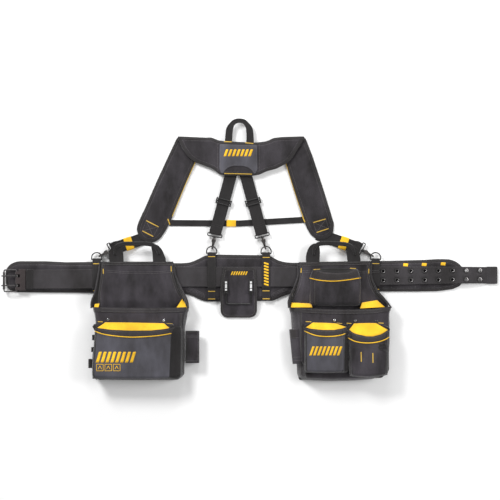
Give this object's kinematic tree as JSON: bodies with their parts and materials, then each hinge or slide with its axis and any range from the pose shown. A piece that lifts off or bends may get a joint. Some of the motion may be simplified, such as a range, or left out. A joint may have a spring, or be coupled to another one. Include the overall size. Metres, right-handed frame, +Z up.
{
  "type": "tool belt",
  "caption": "Padded carpenter's tool belt with nail pouches, a hammer loop and padded braces clipped to D-rings, lying flat on its back.",
  "frame": {"origin": "middle of the belt pad's back face, on the surface the rig lies on", "axes": "+X along the belt from the buckle to the strap's tip, +Y from the pouches towards the yoke, +Z up out of the surface"},
  "size_m": [1.4925, 0.788, 0.078],
  "materials": {
    "padded_fabric": "woven polyester over foam",
    "pouch_fabric": "coarse woven polyester",
    "coated_fabric": "smooth coated fabric",
    "webbing": "woven webbing",
    "yellow_fabric": "woven, bright yellow",
    "black_wire": "black coated wire",
    "gunmetal": "gunmetal plated",
    "adjuster_metal": "black satin",
    "bright_steel": "polished"
  },
  "bodies": {
    "belt_and_braces": {"belt_pad": "padded_fabric", "belt_strap": "webbing", "belt_eyelets": "bright_steel", "belt_keeper": "webbing", "belt_size_tabs": "yellow_fabric", "buckle_tab": "webbing", "front_d_ring_tabs": "webbing", "back_d_ring_tabs": "webbing", "hammer_holder": "pouch_fabric", "hammer_loop_sleeves": "webbing", "yoke_body": "padded_fabric", "yoke_panel": "coated_fabric", "hanging_loop": "webbing", "shoulder_pad_left": "padded_fabric", "shoulder_pad_right": "padded_fabric", "back_brace_left": "webbing", "back_brace_right": "webbing", "front_brace_left": "webbing", "front_brace_right": "webbing", "chest_strap": "webbing", "front_snap_eyes": "gunmetal", "back_snap_eyes": "gunmetal"},
    "ring_front_left": {"d_ring_front_left": "black_wire"},
    "ring_back_left": {"d_ring_back_left": "black_wire"},
    "ring_back_right": {"d_ring_back_right": "black_wire"},
    "ring_front_right": {"d_ring_front_right": "black_wire"},
    "hook_front_left": {"snap_hook_front_left": "gunmetal"},
    "gate_front_left": {"snap_gate_front_left": "gunmetal"},
    "hook_back_left": {"snap_hook_back_left": "gunmetal"},
    "gate_back_left": {"snap_gate_back_left": "gunmetal"},
    "hook_back_right": {"snap_hook_back_right": "gunmetal"},
    "gate_back_right": {"snap_gate_back_right": "gunmetal"},
    "hook_front_right": {"snap_hook_front_right": "gunmetal"},
    "gate_front_right": {"snap_gate_front_right": "gunmetal"},
    "buckle_frame": {"buckle_frame": "black_wire"},
    "buckle_roller": {"buckle_roller": "black_wire"},
    "buckle_prongs": {"buckle_prongs": "black_wire"},
    "adjuster_left": {"adjuster_left": "adjuster_metal"},
    "front_keeper_left": {"front_keeper_left": "yellow_fabric"},
    "adjuster_right": {"adjuster_right": "adjuster_metal"},
    "front_keeper_right": {"front_keeper_right": "yellow_fabric"},
    "chest_keeper": {"chest_keeper": "yellow_fabric"},
    "hammer_loop": {"hammer_loop": "black_wire"},
    "left_pouch": {"left_back_panel": "pouch_fabric", "left_belt_tunnel": "webbing", "left_main_pocket": "pouch_fabric", "left_rivets": "bright_steel", "left_handle": "webbing", "left_tool_sleeve": "pouch_fabric", "left_front_pocket": "coated_fabric", "left_side_loops": "webbing"},
    "right_pouch": {"right_back_panel": "pouch_fabric", "right_belt_tunnel": "webbing", "right_main_pocket": "pouch_fabric", "right_rivets": "bright_steel", "right_handle": "webbing", "right_tool_sleeve": "pouch_fabric", "right_front_pocket_inner": "coated_fabric", "right_front_pocket_outer": "pouch_fabric", "right_upper_pocket": "pouch_fabric"}
  },
  "joints": [
    {"name": "ring_tilt_front_left", "type": "hinge", "parent": "belt_and_braces", "child": "ring_front_left", "pos_m": [-0.427, 0.0475, 0.01], "axis": [1, 0, 0], "range_deg": [-3, 3]},
    {"name": "ring_tilt_back_left", "type": "hinge", "parent": "belt_and_braces", "child": "ring_back_left", "pos_m": [-0.081, 0.066, 0.01], "axis": [1, 0, 0], "range_deg": [-3, 3]},
    {"name": "ring_tilt_back_right", "type": "hinge", "parent": "belt_and_braces", "child": "ring_back_right", "pos_m": [0.083, 0.066, 0.01], "axis": [1, 0, 0], "range_deg": [-3, 3]},
    {"name": "ring_tilt_front_right", "type": "hinge", "parent": "belt_and_braces", "child": "ring_front_right", "pos_m": [0.4125, 0.0475, 0.01], "axis": [1, 0, 0], "range_deg": [-3, 3]},
    {"name": "hook_swivel_front_left", "type": "hinge", "parent": "belt_and_braces", "child": "hook_front_left", "pos_m": [-0.3895, 0.074, 0.01], "axis": [-0.8788, -0.4772, 0], "range_deg": [-15, 15]},
    {"name": "gate_opens_front_left", "type": "hinge", "parent": "hook_front_left", "child": "gate_front_left", "pos_m": [-0.39917, 0.06875, 0.0144], "axis": [0.4772, -0.8788, 0], "range_deg": [0, 16], "stiffness_Nm_per_rad": 0.05},
    {"name": "hook_swivel_back_left", "type": "hinge", "parent": "belt_and_braces", "child": "hook_back_left", "pos_m": [-0.0728, 0.114, 0.01], "axis": [-0.1908, -0.9816, 0], "range_deg": [-15, 15]},
    {"name": "gate_opens_back_left", "type": "hinge", "parent": "hook_back_left", "child": "gate_back_left", "pos_m": [-0.0749, 0.1032, 0.0144], "axis": [0.9816, -0.1908, 0], "range_deg": [0, 16], "stiffness_Nm_per_rad": 0.05},
    {"name": "hook_swivel_back_right", "type": "hinge", "parent": "belt_and_braces", "child": "hook_back_right", "pos_m": [0.0727, 0.1135, 0.01], "axis": [0.2419, -0.9703, 0], "range_deg": [-15, 15]},
    {"name": "gate_opens_back_right", "type": "hinge", "parent": "hook_back_right", "child": "gate_back_right", "pos_m": [0.07536, 0.10283, 0.0144], "axis": [0.9703, 0.2419, 0], "range_deg": [0, 16], "stiffness_Nm_per_rad": 0.05},
    {"name": "hook_swivel_front_right", "type": "hinge", "parent": "belt_and_braces", "child": "hook_front_right", "pos_m": [0.3752, 0.0743, 0.01], "axis": [0.8746, -0.4848, 0], "range_deg": [-15, 15]},
    {"name": "gate_opens_front_right", "type": "hinge", "parent": "hook_front_right", "child": "gate_front_right", "pos_m": [0.38482, 0.06897, 0.0144], "axis": [0.4848, 0.8746, 0], "range_deg": [0, 16], "stiffness_Nm_per_rad": 0.05},
    {"name": "buckle_frame_hinge", "type": "hinge", "parent": "belt_and_braces", "child": "buckle_frame", "pos_m": [-0.667, -0.016, 0.0174], "axis": [0, 1, 0], "range_deg": [0, 40]},
    {"name": "buckle_prong_hinge", "type": "hinge", "parent": "buckle_frame", "child": "buckle_prongs", "pos_m": [-0.667, -0.016, 0.0174], "axis": [0, 1, 0], "range_deg": [0, 60]},
    {"name": "buckle_roller_spin", "type": "hinge", "parent": "buckle_frame", "child": "buckle_roller", "pos_m": [-0.705, -0.016, 0.0174], "axis": [0, 1, 0], "continuous": true},
    {"name": "adjuster_slide_left", "type": "slide", "parent": "belt_and_braces", "child": "adjuster_left", "axis": [-0.2595, -0.9656, 0.0185], "range_m": [-0.05, 0.006]},
    {"name": "front_keeper_slide_left", "type": "slide", "parent": "belt_and_braces", "child": "front_keeper_left", "axis": [-0.939, -0.3126, 0.1435], "range_m": [-0.02, 0.01]},
    {"name": "adjuster_slide_right", "type": "slide", "parent": "belt_and_braces", "child": "adjuster_right", "axis": [0.2625, -0.9648, 0.0185], "range_m": [-0.05, 0.006]},
    {"name": "front_keeper_slide_right", "type": "slide", "parent": "belt_and_braces", "child": "front_keeper_right", "axis": [0.9363, -0.3271, 0.1281], "range_m": [-0.02, 0.01]},
    {"name": "chest_keeper_slide", "type": "slide", "parent": "belt_and_braces", "child": "chest_keeper", "axis": [1, -0.0071, 0], "range_m": [-0.12, 0.006]},
    {"name": "hammer_loop_hinge", "type": "hinge", "parent": "belt_and_braces", "child": "hammer_loop", "pos_m": [0, -0.052, 0.02481], "axis": [-1, 0, 0], "range_deg": [0, 95]},
    {"name": "left_pouch_slide", "type": "slide", "parent": "belt_and_braces", "child": "left_pouch", "axis": [1, 0, 0], "range_m": [-0.008, 0.05]},
    {"name": "right_pouch_slide", "type": "slide", "parent": "belt_and_braces", "child": "right_pouch", "axis": [1, 0, 0], "range_m": [-0.05, 0.008]}
  ]
}
